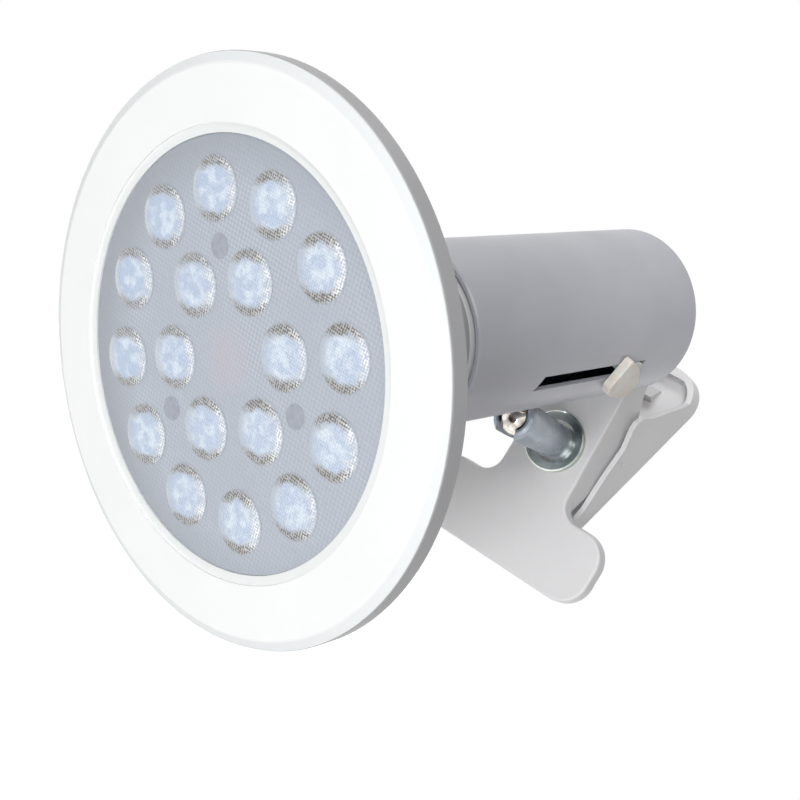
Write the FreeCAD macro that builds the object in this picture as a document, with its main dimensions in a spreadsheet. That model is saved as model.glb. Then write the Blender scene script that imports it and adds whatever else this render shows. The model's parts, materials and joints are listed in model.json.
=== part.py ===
import FreeCAD, Part
import Sketcher
import math
import os
from FreeCAD import Placement, Rotation, Vector

# Clip-on spot lamp: a flat LED spot bulb in a slotted tube, on a swivel joint, on a spring clip.
# Part frame: origin at the middle of the front jaw pad's gripping face, +Z up the clip, lamp on -Y.
# Head frame: +Z out of the lens along the lamp's axis, origin in the bulb's front face, -Y to the ball.
os.makedirs("parts", exist_ok=True)
doc = FreeCAD.newDocument("clip_lamp")

DRIVING = {
    # bulb
    "rim_radius": 60.3, "rim_depth": 5.0, "rim_wall": 2.4, "rim_chamfer": 2.6, "rim_chamfer_drop": 1.0,
    "lens_radius": 44.6, "step_width": 2.0, "step_drop": 0.6, "lens_thick": 1.6,
    "outer_ring": 33.8, "inner_ring": 17.1, "optic_radius": 6.9, "optic_foot": 4.0, "optic_tall": 6.0,
    "outer_turn": 116.7, "inner_turn": 86.7, "board_radius": 43.0, "board_thick": 1.6,
    "carrier_thick": 1.2, "chip_side": 3.0, "chip_thick": 0.8, "post_ring": 22.4, "post_turn": 116.0,
    "cone_length": 46.0, "cone_wall": 2.2, "neck_radius": 20.0, "neck_end_radius": 13.4,
    "neck_length": 39.0, "neck_wall": 1.9,
    "cap_radius": 13.1, "cap_wall": 0.6, "cap_length": 22.0, "thread_pitch": 3.62, "thread_deep": 0.6,
    "insulator_tall": 4.6, "contact_radius": 4.6, "contact_tall": 1.8,
    # tube and lampholder
    "tube_radius": 21.9, "tube_wall": 1.2, "tube_front": 54.2, "tube_length": 88.4,
    "slot_length": 42.6, "slot_width": 4.2, "slot_start": 81.6, "slot_slant": 1.8, "slot_turn": -12.4,
    "end_cap_thick": 1.6, "end_cap_lip": 5.0, "gland_bore": 3.6, "gland_radius": 5.2,
    "gland_length": 15.0, "gland_hex": 7.0, "gland_hex_thick": 4.0,
    "holder_radius": 17.0, "holder_floor": 8.0, "shell_wall": 0.6, "shell_length": 23.0,
    "bracket_thick": 1.2, "bracket_hole": 10.0, "bracket_screw_ring": 14.0, "terminal_ring": 6.4,
    "tab_thick": 2.4,
    # swivel joint
    "ball_station": 109.8, "ball_gap": 8.0, "ball_radius": 4.8, "stud_radius": 2.6,
    "collar_radius": 5.0, "collar_thick": 1.1, "nut_across": 8.0, "nut_thick": 2.2,
    "ball_height": 30.2, "cup_radius": 6.2, "cup_foot_radius": 5.2, "cup_lip": 3.5, "cup_slot": 6.0,
    "cup_slot_floor": 7.0, "seat_radius": 3.6, "seat_length": 4.6,
    "bend_angle": 64.57, "swing_angle": 6.0,
    "washer_radius": 8.9, "washer_floor": 0.9, "washer_tall": 1.9, "screw_radius": 2.5,
    "screw_head_radius": 4.5, "screw_head_thick": 2.6, "lock_washer_thick": 1.0,
    # clip
    "washer_height": 28.0, "face_depth": 7.0, "arm_wall": 2.6, "jaw_thick": 5.0, "jaw_half": 30.0,
    "jaw_half_tall": 10.6, "jaw_corner": 8.2, "jaw_fillet": 5.5, "edge_round": 0.8,
    "stem_half_low": 12.1, "stem_half_top": 10.8, "arm_top": 58.0, "stem_round": 4.0, "flange_wall": 2.2,
    "pivot_depth": 12.5, "pivot_height": 34.0, "ear_radius": 6.5, "pin_radius": 1.9, "pin_skin": 0.5,
    "rear_half": 13.8, "rear_wall": 1.6, "rear_lean": 35.8, "rear_back_thick": 2.4, "rear_top": 67.0,
    "rear_jaw_half": 25.0, "rear_jaw_corner": 6.5, "rear_jaw_thick": 4.6,
    "pad_thick": 2.0, "pad_gap": 0.3, "pad_inset": 1.6,
    "wire_radius": 0.7, "coil_radius": 3.7, "coil_turns": 6.0, "coil_pitch": 1.6, "leg_height": 16.0,
    # clearances
    "fit": 0.05, "slack": 0.3,
}


class Size:
    # a number from the sheet, kept together with the expression that gives it
    def __init__(self, value, text):
        self.value = float(value)
        self.text = text

    def pair(self, other, sign, value):
        return Size(value, "(%s %s %s)" % (self.text, sign, number(other).text))

    def __add__(self, other):
        return self.pair(other, "+", self.value + number(other).value)

    def __sub__(self, other):
        return self.pair(other, "-", self.value - number(other).value)

    def __mul__(self, other):
        return self.pair(other, "*", self.value * number(other).value)

    def __truediv__(self, other):
        return self.pair(other, "/", self.value / number(other).value)

    def __radd__(self, other):
        return number(other) + self

    def __rsub__(self, other):
        return number(other) - self

    def __rmul__(self, other):
        return number(other) * self

    def __neg__(self):
        return number(0) - self


def number(thing):
    return thing if isinstance(thing, Size) else Size(thing, "%.6f" % thing)


class Sizes:
    pass


sheet = doc.addObject("Spreadsheet::Sheet", "Sizes")
d = Sizes()
for row, (alias, value) in enumerate(DRIVING.items(), 1):
    sheet.set("A%d" % row, alias)
    sheet.set("B%d" % row, str(value))
    sheet.setAlias("B%d" % row, alias)
    setattr(d, alias, Size(value, "Sizes." + alias))
doc.recompute()

nodes = {}


def keep(thing, node, place=None):
    # name a finished sub-part and put it in its frame
    thing.Label = node
    if place is not None:
        thing.Placement = place
    nodes[node] = thing
    return thing


def bind(thing, **sizes):
    for prop, size in sizes.items():
        thing.setExpression(prop, number(size).text)
    return thing


def shift(thing, x=0, y=0, z=0, turn=None):
    if turn is not None:
        thing.Placement = Placement(Vector(), turn)
    for axis, size in zip("xyz", (x, y, z)):
        thing.setExpression("Placement.Base." + axis, number(size).text)
    return thing


ALONG_X = Rotation(Vector(0, 1, 0), 90)
ALONG_Y = Rotation(Vector(1, 0, 0), -90)


def rod(name, radius, length, x=0, y=0, z=0, turn=None):
    thing = bind(doc.addObject("Part::Cylinder", name), Radius=radius, Height=length)
    return shift(thing, x, y, z, turn)


def taper(name, low, high, length, x=0, y=0, z=0, turn=None):
    thing = bind(doc.addObject("Part::Cone", name), Radius1=low, Radius2=high, Height=length)
    return shift(thing, x, y, z, turn)


def block(name, size, corner, turn=None):
    thing = bind(doc.addObject("Part::Box", name), Length=size[0], Width=size[1], Height=size[2])
    return shift(thing, *corner, turn)


def ball(name, radius, x=0, y=0, z=0):
    return shift(bind(doc.addObject("Part::Sphere", name), Radius=radius), x, y, z)


def hexagon(name, across, length, x=0, y=0, z=0, turn=None):
    thing = doc.addObject("Part::Prism", name)
    thing.Polygon = 6
    bind(thing, Circumradius=across / math.sqrt(3), Height=length)
    return shift(thing, x, y, z, turn)


def cut(name, base, tools):
    tool = tools[0] if len(tools) == 1 else joined(name + "_tools", tools)
    thing = doc.addObject("Part::Cut", name)
    thing.Base = base
    thing.Tool = tool
    return thing


def joined(name, pieces):
    thing = doc.addObject("Part::MultiFuse", name)
    thing.Shapes = pieces
    return thing


def together(name, pieces):
    thing = doc.addObject("Part::Compound", name)
    thing.Links = pieces
    return thing


def body(name):
    return doc.addObject("PartDesign::Body", name)


def outline(owner, name, role, points):
    # a closed polygon whose every corner is bound to the sheet
    plane = [part for part in owner.Origin.OriginFeatures if part.Role == role][0]
    sketch = owner.newObject("Sketcher::SketchObject", name)
    sketch.AttachmentSupport = (plane, [""])
    sketch.MapMode = "FlatFace"
    corners = [(number(x), number(y)) for x, y in points]
    count = len(corners)
    for i, (x, y) in enumerate(corners):
        x2, y2 = corners[(i + 1) % count]
        sketch.addGeometry(Part.LineSegment(Vector(x.value, y.value, 0), Vector(x2.value, y2.value, 0)))
    for i in range(count):
        sketch.addConstraint(Sketcher.Constraint("Coincident", i, 2, (i + 1) % count, 1))
    for i, corner in enumerate(corners):
        for kind, size in zip(("DistanceX", "DistanceY"), corner):
            made = sketch.addConstraint(Sketcher.Constraint(kind, i, 1, size.value))
            sketch.setExpression("Constraints[%d]" % made, size.text)
    return sketch


def turned(name, points):
    # a round piece: the half section (radius, height) turned about Z
    owner = body(name)
    turn = owner.newObject("PartDesign::Revolution", name + "_turn")
    turn.Profile = outline(owner, name + "_section", "XZ_Plane", points)
    turn.ReferenceAxis = (turn.Profile[0], ["V_Axis"])
    turn.Angle = 360
    return owner


def pushed(name, role, points, length):
    # a flat outline padded to both sides of its plane
    owner = body(name)
    pad = owner.newObject("PartDesign::Pad", name + "_pad")
    pad.Profile = outline(owner, name + "_outline", role, points)
    pad.SideType = "Symmetric"
    bind(pad, Length=length)
    return owner


def rounded(owner, radius, wanted):
    # round the edges of the body's last feature that the test picks by their middle and direction
    doc.recompute()
    last = owner.Tip
    names = []
    for i, edge in enumerate(last.Shape.Edges, 1):
        middle = edge.valueAt((edge.FirstParameter + edge.LastParameter) / 2)
        along = edge.tangentAt(edge.FirstParameter)
        if wanted(middle, along):
            names.append("Edge%d" % i)
    fillet = owner.newObject("PartDesign::Fillet", owner.Name + "_round_%d" % len(owner.Group))
    fillet.Base = (last, names)
    bind(fillet, Radius=radius)
    return owner


def polar(ring, turn):
    return ring * math.cos(math.radians(turn)), ring * math.sin(math.radians(turn))


# ---------------------------------------------------------------- frames of the head and the joint
bend = math.radians(d.bend_angle.value)
swing = math.radians(d.swing_angle.value)
ball_centre = Vector(0, -(d.face_depth + d.ball_height).value, d.washer_height.value)
stud_way = Vector(0, -math.cos(bend), math.sin(bend))
level_way = Vector(0, -math.sin(bend), -math.cos(bend))
side_way = Vector(1, 0, 0)
lens_way = level_way * math.cos(swing) - side_way * math.sin(swing)
across_way = stud_way.cross(lens_way)
axis_foot = ball_centre + stud_way * (d.tube_radius + d.ball_gap).value
face_centre = axis_foot + lens_way * d.ball_station.value
head = Placement(face_centre, Rotation(across_way, stud_way, lens_way, "ZXY"))
cup = Placement(Vector(0, -d.face_depth.value, d.washer_height.value), Rotation(Vector(1, 0, 0), 90))

# ---------------------------------------------------------------- bulb front
lens_floor = d.step_drop + d.lens_thick
seat_radius = d.lens_radius + d.step_width
rim_inner = d.rim_radius - d.rim_wall
keep(turned("bezel_ring", [
    (d.lens_radius, -d.step_drop), (seat_radius, -d.step_drop), (seat_radius, 0),
    (d.rim_radius - d.rim_chamfer, 0), (d.rim_radius - 0.2, -d.rim_chamfer_drop),
    (d.rim_radius, -d.rim_chamfer_drop - 0.5), (d.rim_radius, -d.rim_depth),
    (rim_inner, -d.rim_depth), (rim_inner, -lens_floor - 0.4), (d.lens_radius, -lens_floor - 0.4)]),
    "bezel_ring", head)
lens_rim_floor = lens_floor + 0.5 + d.lens_thick
keep(turned("diffuser_lens", [
    (0, -d.step_drop - 0.4), (d.lens_radius - d.fit, -d.step_drop - 0.4),
    (d.lens_radius - d.fit, -lens_floor - 0.5), (seat_radius, -lens_floor - 0.5),
    (seat_radius, -lens_rim_floor), (d.board_radius + 0.4, -lens_rim_floor),
    (d.board_radius + 0.4, -lens_floor - 0.4), (0, -lens_floor - 0.4)]), "diffuser_lens", head)

optic_top = -lens_floor - 0.6
optic_base = optic_top - d.optic_tall
spots = [polar(d.outer_ring, d.outer_turn.value + 30 * i) for i in range(12)]
spots += [polar(d.inner_ring, d.inner_turn.value + 60 * i) for i in range(6)]
board_top = optic_base - d.chip_thick - 0.3
board_floor = board_top - d.board_thick
carrier_floor = optic_base + 0.6


def optic(i, x, y):
    # a collimator: a cup of clear plastic, wide at the front, with a shallow dish in its face
    cup_part = taper("optic_%d" % i, d.optic_foot, d.optic_radius, d.optic_tall, x, y, optic_base)
    dish = ball("optic_dish_%d" % i, d.optic_radius * 1.6, x, y, optic_top + d.optic_radius * 1.45)
    return cut("optic_cut_%d" % i, cup_part, [dish])


keep(together("led_optics", [optic(i, x, y) for i, (x, y) in enumerate(spots)]), "led_optics", head)
carrier_holes = [rod("carrier_hole_%d" % i, d.optic_radius - 1.2, d.carrier_thick * 2,
                     x, y, carrier_floor - d.carrier_thick / 2) for i, (x, y) in enumerate(spots)]
posts = [polar(d.post_ring, d.post_turn.value + 120 * i) for i in range(3)]
post_hole = 1.5 + d.fit
carrier_holes += [rod("carrier_post_%d" % i, post_hole, d.carrier_thick * 2, x, y,
                      carrier_floor - d.carrier_thick / 2) for i, (x, y) in enumerate(posts)]
keep(cut("optic_carrier", rod("carrier_disc", d.board_radius, d.carrier_thick, z=carrier_floor),
         carrier_holes), "optic_carrier", head)
keep(cut("led_board", rod("board_disc", d.board_radius, d.board_thick, z=board_floor),
         [rod("board_hole_%d" % i, post_hole, d.board_thick * 2, x, y, board_floor - 0.8)
          for i, (x, y) in enumerate(posts)]), "led_board", head)
keep(together("led_chips", [block("chip_%d" % i, (d.chip_side, d.chip_side, d.chip_thick),
                                  (x - d.chip_side / 2, y - d.chip_side / 2, board_top))
                            for i, (x, y) in enumerate(spots)]), "led_chips", head)
sink_top = board_floor
keep(together("board_screws", [
    joined("board_screw_%d" % i, [
        rod("board_shank_%d" % i, 1.5, carrier_floor + d.carrier_thick - sink_top + d.cone_wall,
            x, y, sink_top - d.cone_wall),
        rod("board_head_%d" % i, 2.6, 1.8, x, y, carrier_floor + d.carrier_thick)])
    for i, (x, y) in enumerate(posts)]), "board_screws", head)

# ---------------------------------------------------------------- heat sink, neck, driver and screw cap
cone_end = -(d.rim_depth + d.cone_length)
sink_floor = sink_top - d.cone_wall
cone_run = d.cone_length - 3.0
cone_slope = (rim_inner - 2.0 - d.neck_radius) / cone_run
wall_radius = rim_inner - 2.0 - (-sink_floor - d.rim_depth - 3.0) * cone_slope - d.cone_wall
sink = turned("sink_shell", [
    (3.0, sink_top), (d.board_radius + 0.4, sink_top), (d.board_radius + 0.4, -lens_rim_floor),
    (seat_radius + 0.1, -lens_rim_floor), (seat_radius + 0.1, -lens_floor - 0.4),
    (rim_inner, -lens_floor - 0.4), (rim_inner, -d.rim_depth - 1.5),
    (rim_inner - 2.0, -d.rim_depth - 3.0), (d.neck_radius, cone_end), (d.neck_radius, cone_end - 2.0),
    (d.neck_radius - d.cone_wall, cone_end - 2.0), (d.neck_radius - d.cone_wall, cone_end + 1.0),
    (wall_radius, sink_floor), (3.0, sink_floor)])
keep(cut("heat_sink_cone", sink, [rod("sink_hole_%d" % i, post_hole, 3.0 * d.cone_wall, x, y,
                                      sink_floor - d.cone_wall) for i, (x, y) in enumerate(posts)]),
     "heat_sink_cone", head)

neck_top = cone_end - 2.0
neck_end = neck_top - d.neck_length
spigot = d.neck_radius - d.cone_wall - d.fit
cap_inner = d.cap_radius - d.thread_deep - d.cap_wall
keep(turned("neck_housing", [
    (spigot, neck_top + 2.4), (spigot, neck_top), (d.neck_radius, neck_top),
    (d.neck_radius, neck_top - 3.0), (d.neck_radius - 0.8, neck_top - 4.0),
    (d.neck_end_radius, neck_end), (cap_inner - d.fit, neck_end), (cap_inner - d.fit, neck_end - 5.0),
    (cap_inner - d.neck_wall, neck_end - 5.0), (cap_inner - d.neck_wall, neck_end),
    (d.neck_radius - 0.8 - d.neck_wall - 2.0, neck_top - 6.0), (spigot - d.neck_wall, neck_top),
    (spigot - d.neck_wall, neck_top + 2.4)]), "neck_housing", head)

driver_half = spigot - d.neck_wall - 0.3
driver_top = sink_floor - 6.0
driver_length = driver_top - neck_top + 3.5
keep(together("driver_board", [
    block("driver_strip", (driver_half * 2 - 0.4, 1.6, driver_length),
          (0.2 - driver_half, -0.8, driver_top - driver_length))]), "driver_board", head)
keep(joined("driver_capacitor", [
    rod("capacitor_can", 5.0, 13.0, 0, 6.0 + d.fit, driver_top - 18.0),
    rod("capacitor_rim", 5.2, 0.8, 0, 6.0 + d.fit, driver_top - 18.8)]), "driver_capacitor", head)
keep(joined("driver_transformer", [
    block("transformer_core", (12.0, 8.0, 3.0), (-6.0, -9.0, driver_top - 8.0)),
    rod("transformer_coil", 3.9, 9.0, 0, -5.0, driver_top - 15.0),
    block("transformer_foot", (12.0, 8.0, 3.0), (-6.0, -9.0, driver_top - 17.0))]),
    "driver_transformer", head)


def thread_points():
    # the rolled thread as rounded rings, from the cap's front edge to its end
    points = []
    turns = int((d.cap_length.value - 4.0) / d.thread_pitch.value)
    for i in range(turns):
        start = neck_end - 2.0 - i * d.thread_pitch
        points += [(d.cap_radius - d.thread_deep, start),
                   (d.cap_radius, start - d.thread_pitch * 0.35),
                   (d.cap_radius, start - d.thread_pitch * 0.6),
                   (d.cap_radius - d.thread_deep, start - d.thread_pitch * 0.95)]
    return points


cap_end = neck_end - d.cap_length
keep(turned("screw_cap", [(cap_inner, neck_end), (d.cap_radius - 0.2, neck_end)] + thread_points()
            + [(d.cap_radius - d.thread_deep, cap_end), (cap_inner, cap_end)]), "screw_cap", head)
keep(turned("cap_insulator", [
    (0, cap_end + 1.5), (cap_inner - d.fit, cap_end + 1.5), (cap_inner - d.fit, cap_end),
    (d.cap_radius - d.thread_deep, cap_end - 0.02), (d.contact_radius + 2.0, cap_end - d.insulator_tall),
    (0, cap_end - d.insulator_tall)]), "cap_insulator", head)
contact_end = cap_end - d.insulator_tall - d.contact_tall
keep(turned("centre_contact", [
    (0, cap_end - d.insulator_tall), (d.contact_radius, cap_end - d.insulator_tall),
    (d.contact_radius, contact_end + 0.9), (d.contact_radius - 1.6, contact_end), (0, contact_end)]),
    "centre_contact", head)

# ---------------------------------------------------------------- tube, end cap and cord gland
tube_inner = d.tube_radius - d.tube_wall
tube_end = -d.tube_front - d.tube_length
slot_turn = Rotation(Vector(0, 0, 1), d.slot_turn.value)
slot_half = d.slot_width / 2
slot_rear = -d.slot_start - d.slot_length
slot_tool = pushed("slot_tool", "YZ_Plane", [
    (-slot_half, -d.slot_start + d.slot_slant), (slot_half, -d.slot_start), (slot_half, slot_rear),
    (-slot_half, slot_rear + 1.0)], d.tube_radius)
slot_tool.Placement = Placement(slot_turn.multVec(Vector(d.tube_radius.value / 2 + 1, 0, 0)), slot_turn)
mirror_slot = doc.addObject("Part::Mirroring", "slot_mirror")
mirror_slot.Source = slot_tool
mirror_slot.Normal = Vector(1, 0, 0)
stud_hole = rod("stud_hole", d.stud_radius + 0.4, d.tube_radius, 0, -d.tube_radius * 1.5,
                -d.ball_station, ALONG_Y)
tube_blank = turned("tube_blank", [
    (tube_inner, -d.tube_front), (d.tube_radius - 0.4, -d.tube_front),
    (d.tube_radius, -d.tube_front - 0.4), (d.tube_radius, tube_end), (tube_inner, tube_end)])
keep(cut("shade_tube", tube_blank, [slot_tool, mirror_slot, stud_hole]), "shade_tube", head)

cap_back = tube_end - d.end_cap_thick
keep(turned("rear_cap", [
    (d.gland_radius + d.fit, tube_end), (tube_inner - 2.0, tube_end),
    (tube_inner - 2.0, tube_end + d.end_cap_lip), (tube_inner - d.fit, tube_end + d.end_cap_lip),
    (tube_inner - d.fit, tube_end), (d.tube_radius, tube_end), (d.tube_radius, tube_end - 0.5),
    (d.tube_radius - 1.1, cap_back), (d.gland_radius + d.fit, cap_back)]), "rear_cap", head)
gland_top = tube_end + 3.5
gland_flange = hexagon("gland_hex", d.gland_hex * 2, d.gland_hex_thick, z=cap_back - d.gland_hex_thick)
keep(cut("cord_gland", joined("gland_solid", [
    rod("gland_barrel", d.gland_radius, d.gland_length, z=gland_top - d.gland_length), gland_flange]),
    [rod("gland_bore", d.gland_bore, d.gland_length * 2, z=gland_top - d.gland_length * 1.5)]),
    "cord_gland", head)
keep(cut("gland_nut", hexagon("gland_nut_hex", d.gland_hex * 2, 2.6, z=tube_end),
         [rod("gland_nut_hole", d.gland_radius + d.fit, 6.0, z=tube_end - 1.0)]), "gland_nut", head)

# ---------------------------------------------------------------- lampholder inside the tube
shell_bore = d.cap_radius + d.slack
shell_outer = shell_bore + d.shell_wall
holder_bore = shell_outer + d.fit
shell_top = neck_end - 4.0
shell_end = shell_top - d.shell_length
holder_top = shell_top + 1.0
holder_well = contact_end - 3.2
holder_end = holder_well - d.holder_floor
screw_spots = [polar(d.bracket_screw_ring, turn) for turn in (0, 180)]
holder_blank = turned("holder_blank", [
    (holder_bore, holder_top), (d.holder_radius, holder_top), (d.holder_radius, holder_end),
    (0, holder_end), (0, holder_well), (holder_bore, holder_well)])
keep(cut("lampholder_body", holder_blank,
         [rod("holder_screw_hole_%d" % i, 1.5 + d.fit, 7.5, x, y, holder_end - 0.5)
          for i, (x, y) in enumerate(screw_spots)]), "lampholder_body", head)
keep(turned("holder_shell", [
    (shell_bore, shell_top), (shell_outer, shell_top), (shell_outer, shell_end), (shell_bore, shell_end)]),
    "holder_shell", head)
keep(joined("holder_contact", [
    block("contact_strip", (18.0, 5.0, 0.8), (-9.0, -2.5, holder_well)),
    taper("contact_dome", 2.4, 1.6, contact_end - d.slack - holder_well, z=holder_well)]),
    "holder_contact", head)
bracket_floor = holder_end - d.bracket_thick
keep(cut("holder_bracket", rod("bracket_disc", tube_inner - d.fit, d.bracket_thick, z=bracket_floor),
         [rod("bracket_middle", d.bracket_hole, 6.0, z=bracket_floor - 2.0)]
         + [rod("bracket_hole_%d" % i, 1.5 + d.fit, 6.0, x, y, bracket_floor - 2.0)
            for i, (x, y) in enumerate(screw_spots)]), "holder_bracket", head)
keep(together("bracket_screws", [
    joined("bracket_screw_%d" % i, [
        rod("bracket_shank_%d" % i, 1.5, 7.0, x, y, bracket_floor),
        rod("bracket_head_%d" % i, 2.6, 1.8, x, y, bracket_floor - 1.8)])
    for i, (x, y) in enumerate(screw_spots)]), "bracket_screws", head)
terminal_spots = [polar(d.terminal_ring, turn) for turn in (60, 180, 300)]
keep(together("terminal_screws", [
    joined("terminal_%d" % i, [
        rod("terminal_head_%d" % i, 2.2, 1.6, x, y, holder_end - 2.4),
        block("terminal_plate_%d" % i, (5.0, 4.0, 0.8), (x - 2.5, y - 2.0, holder_end - 0.8))])
    for i, (x, y) in enumerate(terminal_spots)]), "terminal_screws", head)

# The nylon tab: a slanted finger on the tube's side, with a key through the slot to the holder.
tab = pushed("tab_plate", "YZ_Plane", [
    (5.3, slot_rear + 11.6), (1.4, slot_rear + 5.1), (-2.9, slot_rear + 2.0), (-7.1, slot_rear + 3.2),
    (-7.9, slot_rear + 7.7), (-5.9, slot_rear + 13.4), (-3.5, slot_rear + 14.6)], d.tab_thick)
rounded(tab, 1.1, lambda middle, along: abs(along.x) > 0.9)
rounded(tab, 0.5, lambda middle, along: middle.x > d.tab_thick.value * 0.4)
tab.Placement = Placement(Vector((d.tube_radius + d.tab_thick / 2 + 0.1).value, 0, 0), Rotation())
tab_key = block("tab_key", (d.tube_radius + 1.0 - d.holder_radius - 0.5, d.slot_width - 0.4, 5.0),
                (d.holder_radius + 0.5, 0.2 - slot_half, slot_rear + 2.8))
tab_solid = joined("holder_slide_tab", [tab, tab_key])
keep(tab_solid, "holder_slide_tab", head.multiply(Placement(Vector(), slot_turn)))

# ---------------------------------------------------------------- ball stud on the tube
ball_place = -(d.tube_radius + d.ball_gap)
stud_end = -(tube_inner - 3.2)
keep(joined("ball_stud", [
    ball("stud_ball", d.ball_radius, 0, ball_place, -d.ball_station),
    rod("stud_neck", d.stud_radius, stud_end - ball_place, 0, ball_place, -d.ball_station, ALONG_Y)]),
    "ball_stud", head)
keep(cut("stud_collar", rod("collar_disc", d.collar_radius, d.collar_thick + 1.0, 0,
                            -d.tube_radius - d.collar_thick, -d.ball_station, ALONG_Y),
         [rod("collar_saddle", d.tube_radius + 0.02, 30.0, 0, 0, -d.ball_station - 15.0),
          rod("collar_hole", d.stud_radius + d.fit, 10.0, 0, -d.tube_radius - 5.0, -d.ball_station,
              ALONG_Y)]), "stud_collar", head)
nut_face = -(tube_inner - 0.45)
keep(cut("stud_nut", hexagon("stud_nut_hex", d.nut_across, d.nut_thick, 0, nut_face, -d.ball_station,
                             ALONG_Y),
         [rod("stud_nut_hole", d.stud_radius + d.fit, 10.0, 0, nut_face - 3.0, -d.ball_station,
              ALONG_Y)]), "stud_nut", head)

# ---------------------------------------------------------------- swivel cup, washer and screw
cup_end = d.ball_height + d.cup_lip
cup_shell = turned("cup_shell", [
    (0, d.washer_floor), (d.cup_foot_radius, d.washer_floor), (d.cup_foot_radius, d.washer_floor + 2.0),
    (d.cup_radius, d.ball_height - 6.0), (d.cup_radius, cup_end - 1.6), (d.cup_radius - 0.5, cup_end - 0.5),
    (d.cup_radius - 1.4, cup_end), (0, cup_end)])
cup_tools = [
    ball("cup_seat", d.ball_radius + d.fit, z=d.ball_height),
    rod("cup_bore", d.seat_radius, d.ball_height, z=d.cup_slot_floor + 3.0),
    rod("cup_mouth", d.ball_radius - 0.6, d.cup_lip + 1.0, z=d.ball_height + 1.0),
    rod("cup_screw_hole", d.screw_radius + d.fit, d.cup_slot_floor + 4.0),
    block("cup_slot_cut", (d.cup_slot, 20.0, cup_end),
          (-d.cup_slot / 2, -10.0, d.cup_slot_floor + d.cup_slot / 2)),
    rod("cup_slot_root", d.cup_slot / 2, 20.0, 0, -10.0, d.cup_slot_floor + d.cup_slot / 2, ALONG_Y)]
keep(cut("swivel_cup", cup_shell, cup_tools), "swivel_cup", cup)
seat_top = d.ball_height - d.ball_radius * 0.72
keep(cut("friction_seat", rod("seat_plug", d.seat_radius - d.fit, d.seat_length,
                              z=seat_top - d.seat_length),
         [ball("seat_dish", d.ball_radius + d.fit, z=d.ball_height)]), "friction_seat", cup)
screw_head_top = -d.arm_wall - d.lock_washer_thick
keep(cut("cup_screw", joined("cup_screw_solid", [
    rod("cup_screw_shank", d.screw_radius, d.cup_slot_floor + 2.6 - screw_head_top, z=screw_head_top),
    rod("cup_screw_head", d.screw_head_radius, d.screw_head_thick,
        z=screw_head_top - d.screw_head_thick)]),
    [block("screw_slot_a", (6.0, 1.2, 1.4), (-3.0, -0.6, screw_head_top - d.screw_head_thick)),
     block("screw_slot_b", (1.2, 6.0, 1.4), (-0.6, -3.0, screw_head_top - d.screw_head_thick))]),
    "cup_screw", cup)
keep(turned("lock_washer", [
    (d.screw_radius + 0.1, -d.arm_wall), (d.screw_head_radius - 0.2, -d.arm_wall),
    (d.screw_head_radius - 0.2, screw_head_top), (d.screw_radius + 0.1, screw_head_top)]),
    "lock_washer", cup)
keep(turned("base_washer", [
    (d.screw_radius + 0.1, 0), (d.washer_radius, 0), (d.washer_radius, d.washer_tall - 0.3),
    (d.washer_radius - 0.4, d.washer_tall), (d.washer_radius - 0.9, d.washer_tall - 0.2),
    (d.cup_foot_radius + 1.1, d.washer_floor), (d.screw_radius + 0.1, d.washer_floor)]),
    "base_washer", cup)

# ---------------------------------------------------------------- front arm
face = -d.face_depth
jaw_back = face + d.jaw_thick
deep = 60.0
inner_face = face + d.arm_wall
ear = d.ear_radius
ear_back = d.pivot_depth + ear


def stem_half(height):
    # the stem's half width narrows evenly from the jaw to the top
    span = d.arm_top - d.jaw_half_tall
    return d.stem_half_low - (height - d.jaw_half_tall) * (d.stem_half_low - d.stem_half_top) / span


stem_front = face + d.edge_round + 0.2
side_profile = [
    (stem_front, d.jaw_half_tall - 1.0), (jaw_back + 1.4, d.jaw_half_tall - 1.0), (jaw_back + 3.0, 13.6),
    (d.pivot_depth - 1.0, d.pivot_height - ear - 1.2), (ear_back - 2.0, d.pivot_height - ear + 1.6),
    (ear_back, d.pivot_height - 2.6), (ear_back, d.pivot_height + 2.6),
    (ear_back - 2.4, d.pivot_height + ear - 1.6), (6.0, 52.0), (4.6, d.arm_top - 1.2),
    (2.6, d.arm_top), (stem_front, d.arm_top)]
front_side = pushed("front_side", "YZ_Plane", side_profile, d.stem_half_low * 2)
front_stem = pushed("front_stem", "XZ_Plane", [
    (-d.stem_half_low, d.jaw_half_tall - 1.0), (d.stem_half_low, d.jaw_half_tall - 1.0),
    (d.stem_half_top, d.arm_top), (-d.stem_half_top, d.arm_top)], deep)
rounded(front_stem, d.stem_round + d.fit, lambda middle, along: abs(along.y) > 0.9
        and middle.z > d.arm_top.value - 0.1)
stem_solid = doc.addObject("Part::Common", "stem_solid")
stem_solid.Base = front_side
stem_solid.Tool = front_stem
low_inner = d.stem_half_low - d.flange_wall
top_inner = d.stem_half_top - d.flange_wall
front_hollow = pushed("front_hollow", "XZ_Plane", [
    (-low_inner, 13.0), (low_inner, 13.0), (top_inner, d.arm_top - 2.2), (-top_inner, d.arm_top - 2.2)],
    deep)
rounded(front_hollow, 2.0, lambda middle, along: abs(along.y) > 0.9)
front_hollow.Placement = Placement(Vector(0, inner_face.value + deep / 2, 0), Rotation())
jaw_plate = pushed("front_plate", "XZ_Plane", [
    (-d.jaw_half, -d.jaw_half_tall), (d.jaw_half, -d.jaw_half_tall), (d.jaw_half, d.jaw_half_tall),
    (d.stem_half_low, d.jaw_half_tall), (d.stem_half_top, d.arm_top), (-d.stem_half_top, d.arm_top),
    (-d.stem_half_low, d.jaw_half_tall), (-d.jaw_half, d.jaw_half_tall)], d.jaw_thick)
stem_side = d.stem_half_low.value + 0.1
rounded(jaw_plate, d.jaw_corner, lambda middle, along: abs(along.y) > 0.9 and abs(middle.x) > stem_side)
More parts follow.
